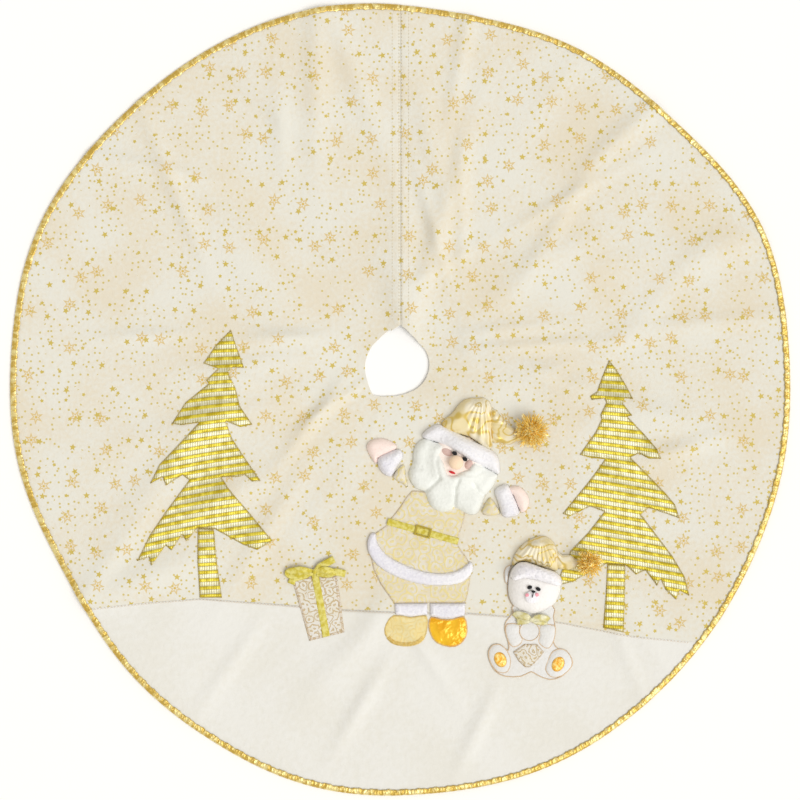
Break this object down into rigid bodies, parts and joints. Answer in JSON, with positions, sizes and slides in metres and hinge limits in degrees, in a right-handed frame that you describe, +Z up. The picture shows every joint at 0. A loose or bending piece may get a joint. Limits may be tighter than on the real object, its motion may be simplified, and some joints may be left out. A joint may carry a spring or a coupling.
{
  "type": "tree skirt",
  "caption": "Round Christmas tree skirt with a trunk opening, a slit with fold-back flaps, gold binding, appliqued trees and gift, and stuffed dolls.",
  "frame": {"origin": "centre of the skirt's round outline, on the floor that it lies on", "axes": "+Z up off the floor, +Y from the trunk opening along the slit, +X to the right when the dolls stand upright"},
  "size_m": [1.2, 1.2, 0.0472],
  "materials": {
    "star_fleece": "brushed fleece with a gold star print",
    "snow_fleece": "plain brushed fleece",
    "lining_cloth": "plain woven lining",
    "gold_lame": "puckered metallic lame",
    "striped_lame": "metallic lame with gold and silver stripes",
    "brocade": "printed brocade",
    "gold_ribbon": "metallic ribbon",
    "buckle_metal": "polished gold plate",
    "coat_jacquard": "satin jacquard",
    "white_fur": "short white fur",
    "cream_plush": "short plush",
    "peach_fleece": "peach fleece",
    "boot_cloth": "matt gold cloth",
    "boot_foil": "shiny gold foil cloth",
    "hat_satin": "satin with a marbled gold print",
    "black_felt": "felt",
    "tinsel": "metallic tinsel"
  },
  "bodies": {
    "skirt": {"star_cloth": "star_fleece", "snow_cloth": "snow_fleece", "lining": "lining_cloth", "edge_binding": "gold_lame", "left_tree": "striped_lame", "left_tree_trunk": "striped_lame", "right_tree": "striped_lame", "right_tree_trunk": "striped_lame", "gift_panel": "brocade", "gift_ribbon": "gold_ribbon", "santa_coat": "coat_jacquard", "santa_coat_fur": "white_fur", "santa_trousers": "coat_jacquard", "santa_belt": "gold_ribbon", "santa_left_leg_cuff": "white_fur", "santa_right_leg_cuff": "white_fur", "santa_left_boot": "boot_cloth", "santa_right_boot": "boot_foil", "santa_head": "peach_fleece", "santa_beard": "cream_plush", "santa_nose": "peach_fleece", "santa_left_eye": "black_felt", "santa_right_eye": "black_felt", "santa_hat_brim": "white_fur", "santa_hat_crown": "hat_satin", "bear_body": "cream_plush", "bear_left_arm": "cream_plush", "bear_right_arm": "cream_plush", "bear_left_foot": "cream_plush", "bear_right_foot": "cream_plush", "bear_left_sole": "boot_cloth", "bear_right_sole": "boot_cloth", "bear_parcel": "brocade", "bear_head": "cream_plush", "bear_left_ear": "cream_plush", "bear_muzzle": "cream_plush", "bear_bow": "gold_ribbon", "bear_hat_brim": "white_fur", "bear_hat_crown": "hat_satin"},
    "left_flap": {"left_flap_cloth": "star_fleece", "left_flap_lining": "lining_cloth", "left_slit_facing": "lining_cloth", "left_flap_binding": "gold_lame"},
    "right_flap": {"right_flap_cloth": "star_fleece", "right_flap_lining": "lining_cloth", "right_slit_facing": "lining_cloth", "right_flap_binding": "gold_lame"},
    "santa_left_arm": {"santa_left_sleeve": "coat_jacquard", "santa_left_cuff": "white_fur", "santa_left_mitten": "peach_fleece"},
    "santa_right_arm": {"santa_right_sleeve": "coat_jacquard", "santa_right_cuff": "white_fur", "santa_right_mitten": "peach_fleece"},
    "belt_buckle": {"santa_buckle": "buckle_metal"},
    "gift_bow_knot": {"gift_bow": "gold_ribbon"},
    "santa_hat_point": {"santa_hat_tip": "hat_satin"},
    "santa_hat_pompom": {"santa_pompom": "tinsel"},
    "bear_hat_point": {"bear_hat_tip": "hat_satin"},
    "bear_hat_pompom": {"bear_pompom": "tinsel"}
  },
  "joints": [
    {"name": "left_flap_fold", "type": "hinge", "parent": "skirt", "child": "left_flap", "pos_m": [-0.17663, 0.28906, 0.0045], "axis": [0.4718, -0.8817, 0], "range_deg": [0, 170]},
    {"name": "right_flap_fold", "type": "hinge", "parent": "skirt", "child": "right_flap", "pos_m": [0.17163, 0.28906, 0.0045], "axis": [0.4865, 0.8737, 0], "range_deg": [0, 170]},
    {"name": "santa_left_arm_lift", "type": "hinge", "parent": "skirt", "child": "santa_left_arm", "pos_m": [0.01, -0.1205, 0.0032], "axis": [-0.1414, 0.9899, 0], "range_deg": [0, 70]},
    {"name": "santa_right_arm_lift", "type": "hinge", "parent": "skirt", "child": "santa_right_arm", "pos_m": [0.1275, -0.164, 0.0032], "axis": [-0.5087, -0.8609, 0], "range_deg": [0, 70]},
    {"name": "buckle_slide", "type": "slide", "parent": "skirt", "child": "belt_buckle", "axis": [0.9624, -0.2718, 0], "range_m": [-0.03, 0.03]},
    {"name": "gift_bow_swivel", "type": "hinge", "parent": "skirt", "child": "gift_bow_knot", "pos_m": [-0.131, -0.265, 0.0055], "axis": [0, 0, 1], "range_deg": [-15, 15]},
    {"name": "santa_hat_tip_lift", "type": "hinge", "parent": "skirt", "child": "santa_hat_point", "pos_m": [0.1405, -0.0405, 0.0152], "axis": [0, -1, 0], "range_deg": [0, 100]},
    {"name": "santa_pompom_swing", "type": "hinge", "parent": "santa_hat_point", "child": "santa_hat_pompom", "pos_m": [0.181, -0.055, 0.0032], "axis": [0, 0, 1], "range_deg": [-25, 25]},
    {"name": "bear_hat_tip_lift", "type": "hinge", "parent": "skirt", "child": "bear_hat_point", "pos_m": [0.2405, -0.246, 0.0167], "axis": [0, -1, 0], "range_deg": [0, 100]},
    {"name": "bear_pompom_swing", "type": "hinge", "parent": "bear_hat_point", "child": "bear_hat_pompom", "pos_m": [0.273, -0.252, 0.0047], "axis": [0, 0, 1], "range_deg": [-25, 25]}
  ]
}
